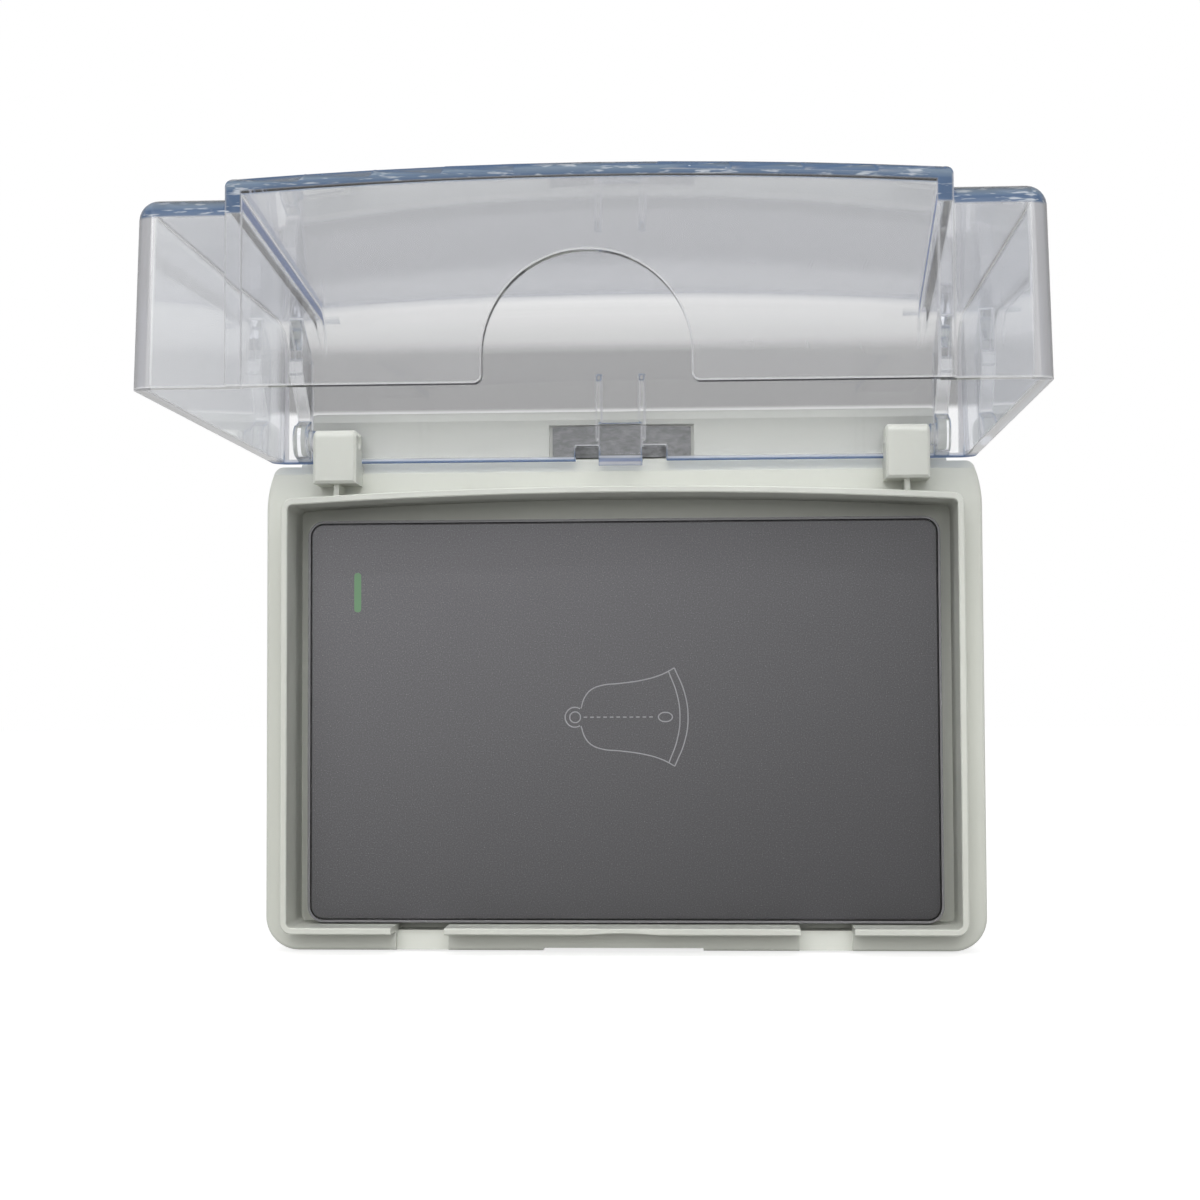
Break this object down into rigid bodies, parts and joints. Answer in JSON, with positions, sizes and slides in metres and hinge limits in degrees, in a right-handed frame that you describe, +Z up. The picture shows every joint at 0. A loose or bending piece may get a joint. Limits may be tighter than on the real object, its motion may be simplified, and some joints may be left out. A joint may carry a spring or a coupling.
{
  "type": "smart doorbell",
  "caption": "Weatherproof doorbell push: a rocking grey key with a light strip in a white wall box under a clear hinged cover.",
  "frame": {"origin": "centre between the two wall screws, on the wall plane", "axes": "+Y into the wall along the screws, +Z up, +X to the right as seen from the front"},
  "size_m": [0.1334, 0.1277, 0.1222],
  "materials": {
    "white_plastic": "white weatherproof moulding, fine satin",
    "clear_plastic": "clear polycarbonate with a faint blue tint",
    "spring_steel": "bright spring strip",
    "seal_foam": "closed-cell foam",
    "zinc_steel": "zinc-plated sheet",
    "graphite_plastic": "graphite grey with a fine metallic fleck",
    "black_plastic": "plain moulding",
    "frosted_strip": "pale green frosted strip",
    "board_green": "solder mask",
    "module_black": "potted case",
    "capacitor_sleeve": "shrink sleeve",
    "shield_metal": "tinned sheet",
    "led_body": "small light bodies",
    "terminal_plastic": "terminal block",
    "screw_steel": "zinc-plated screws"
  },
  "bodies": {
    "base": {"base_frame": "white_plastic", "leaf_spring": "spring_steel", "rear_gasket": "seal_foam", "wall_screws": "screw_steel", "mounting_yoke": "zinc_steel", "trim_frame": "graphite_plastic", "key_carrier": "black_plastic", "rear_housing": "black_plastic", "main_board": "board_green", "tact_switch": "black_plastic", "power_module": "module_black", "capacitor": "capacitor_sleeve", "radio_module": "board_green", "radio_shield": "shield_metal", "led_board": "board_green", "status_leds": "led_body", "terminal_block": "terminal_plastic", "terminal_screws": "screw_steel", "housing_screws": "screw_steel"},
    "cover": {"clear_lid": "clear_plastic"},
    "key": {"key_plate": "graphite_plastic", "light_guide": "frosted_strip"},
    "plunger": {"tact_plunger": "black_plastic"}
  },
  "joints": [
    {"name": "lid_hinge", "type": "hinge", "parent": "base", "child": "cover", "pos_m": [0, -0.015, 0.052], "axis": [1, 0, 0], "range_deg": [0, 90]},
    {"name": "key_rock", "type": "hinge", "parent": "base", "child": "key", "pos_m": [-0.044, -0.0068, 0], "axis": [0, 0, 1], "range_deg": [0, 0.7], "stiffness_Nm_per_rad": 5},
    {"name": "plunger_slide", "type": "slide", "parent": "base", "child": "plunger", "axis": [0, 1, 0], "range_m": [0, 0.0004]}
  ],
  "couplings": [
    {"joint": "plunger_slide", "follows": "key_rock", "m_per_rad": 0.028}
  ]
}
